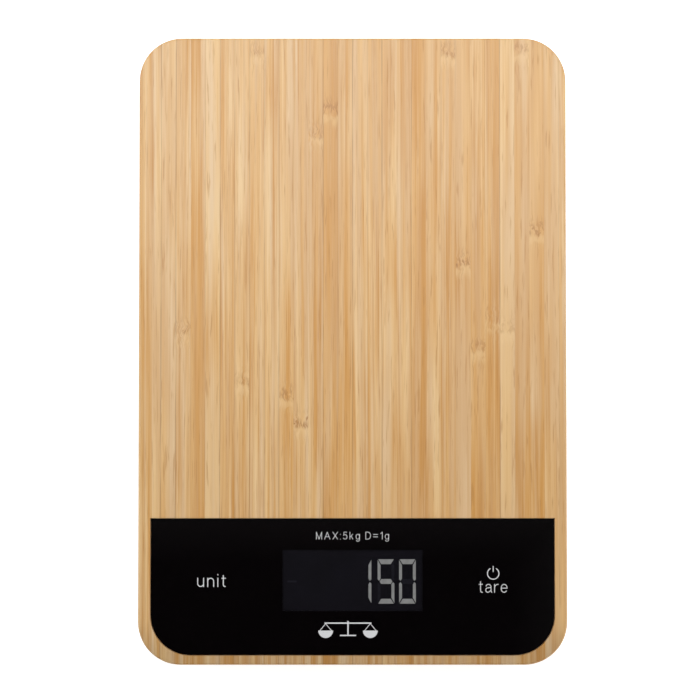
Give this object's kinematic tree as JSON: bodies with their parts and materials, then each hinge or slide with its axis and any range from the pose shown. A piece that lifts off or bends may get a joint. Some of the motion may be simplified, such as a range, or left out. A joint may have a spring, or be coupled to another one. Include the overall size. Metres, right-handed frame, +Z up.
{
  "type": "kitchen scale",
  "caption": "Slim digital kitchen scale: bamboo platform with a flush glossy display panel, thin plastic base, sprung load-cell feet and a hinged battery door.",
  "frame": {"origin": "on the table, under the middle of the platform", "axes": "+Z up, +Y from the display towards the back, +X to the right of someone reading the display"},
  "size_m": [0.15, 0.22, 0.017],
  "materials": {
    "bamboo": "satin lacquer over vertical-grain bamboo strips",
    "clear_acrylic": "polished",
    "black_print": "gloss ink on film",
    "flex_circuit": "amber polyimide film",
    "adhesive_tape": "double-sided foam tape",
    "lcd_glass": "glass with a dark polarizer",
    "backlight_plastic": "diffusing plastic",
    "white_plastic": "satin moulding",
    "zebra_rubber": "striped silicone",
    "circuit_board": "green solder mask",
    "black_resin": "semi-gloss epoxy",
    "chip_package": "moulded package with tinned leads",
    "resistor_ceramic": "glazed ceramic",
    "capacitor_ceramic": "ceramic",
    "solder": "bright solder",
    "screw_steel": "zinc-plated",
    "base_plastic": "fine spark-eroded texture",
    "contact_metal": "nickel-plated spring steel",
    "wire_insulation": "PVC insulation",
    "cell_steel": "nickel-plated, brushed",
    "holder_plastic": "natural nylon moulding",
    "load_cell_steel": "blanked and zinc-plated",
    "gauge_sealant": "white silicone over a foil gauge",
    "foot_plastic": "satin moulding",
    "foot_rubber": "matt thermoplastic rubber"
  },
  "bodies": {
    "housing": {"bamboo_platform": "bamboo", "front_panel": "clear_acrylic", "printed_film": "black_print", "touch_film": "flex_circuit", "panel_adhesive": "adhesive_tape", "lcd_glass": "lcd_glass", "lcd_backlight": "backlight_plastic", "lcd_frame": "white_plastic", "zebra_connectors": "zebra_rubber", "main_board": "circuit_board", "controller_chip": "black_resin", "converter_chip": "chip_package", "board_resistors": "resistor_ceramic", "board_capacitors": "capacitor_ceramic", "solder_joints": "solder", "board_screws": "screw_steel", "base_cover": "base_plastic", "base_screws": "screw_steel", "battery_contact_positive": "contact_metal", "battery_contact_negative": "contact_metal", "battery_wires": "wire_insulation", "coin_cell": "cell_steel", "sensor_holder_front_left": "holder_plastic", "sensor_holder_front_right": "holder_plastic", "sensor_holder_rear_left": "holder_plastic", "sensor_holder_rear_right": "holder_plastic", "load_cell_front_left": "load_cell_steel", "load_cell_front_right": "load_cell_steel", "load_cell_rear_left": "load_cell_steel", "load_cell_rear_right": "load_cell_steel", "strain_gauge_front_left": "gauge_sealant", "strain_gauge_front_right": "gauge_sealant", "strain_gauge_rear_left": "gauge_sealant", "strain_gauge_rear_right": "gauge_sealant", "sensor_wires_front_left": "wire_insulation", "sensor_wires_front_right": "wire_insulation", "sensor_wires_rear_left": "wire_insulation", "sensor_wires_rear_right": "wire_insulation"},
    "battery_door": {"battery_door": "base_plastic"},
    "foot_front_left": {"foot_cup_front_left": "foot_plastic", "foot_pad_front_left": "foot_rubber"},
    "foot_front_right": {"foot_cup_front_right": "foot_plastic", "foot_pad_front_right": "foot_rubber"},
    "foot_rear_left": {"foot_cup_rear_left": "foot_plastic", "foot_pad_rear_left": "foot_rubber"},
    "foot_rear_right": {"foot_cup_rear_right": "foot_plastic", "foot_pad_rear_right": "foot_rubber"}
  },
  "joints": [
    {"name": "battery_door_hinge", "type": "hinge", "parent": "housing", "child": "battery_door", "pos_m": [0, 0.026, 0.0042], "axis": [1, 0, 0], "range_deg": [0, 90]},
    {"name": "foot_front_left_travel", "type": "slide", "parent": "housing", "child": "foot_front_left", "axis": [0, 0, 1], "range_m": [0, 0.0005], "stiffness_N_per_m": 500, "springref_m": -0.002, "deforming": ["load_cell_front_left", "strain_gauge_front_left"]},
    {"name": "foot_front_right_travel", "type": "slide", "parent": "housing", "child": "foot_front_right", "axis": [0, 0, 1], "range_m": [0, 0.0005], "stiffness_N_per_m": 500, "springref_m": -0.002, "deforming": ["load_cell_front_right", "strain_gauge_front_right"]},
    {"name": "foot_rear_left_travel", "type": "slide", "parent": "housing", "child": "foot_rear_left", "axis": [0, 0, 1], "range_m": [0, 0.0005], "stiffness_N_per_m": 500, "springref_m": -0.002, "deforming": ["load_cell_rear_left", "strain_gauge_rear_left"]},
    {"name": "foot_rear_right_travel", "type": "slide", "parent": "housing", "child": "foot_rear_right", "axis": [0, 0, 1], "range_m": [0, 0.0005], "stiffness_N_per_m": 500, "springref_m": -0.002, "deforming": ["load_cell_rear_right", "strain_gauge_rear_right"]}
  ]
}
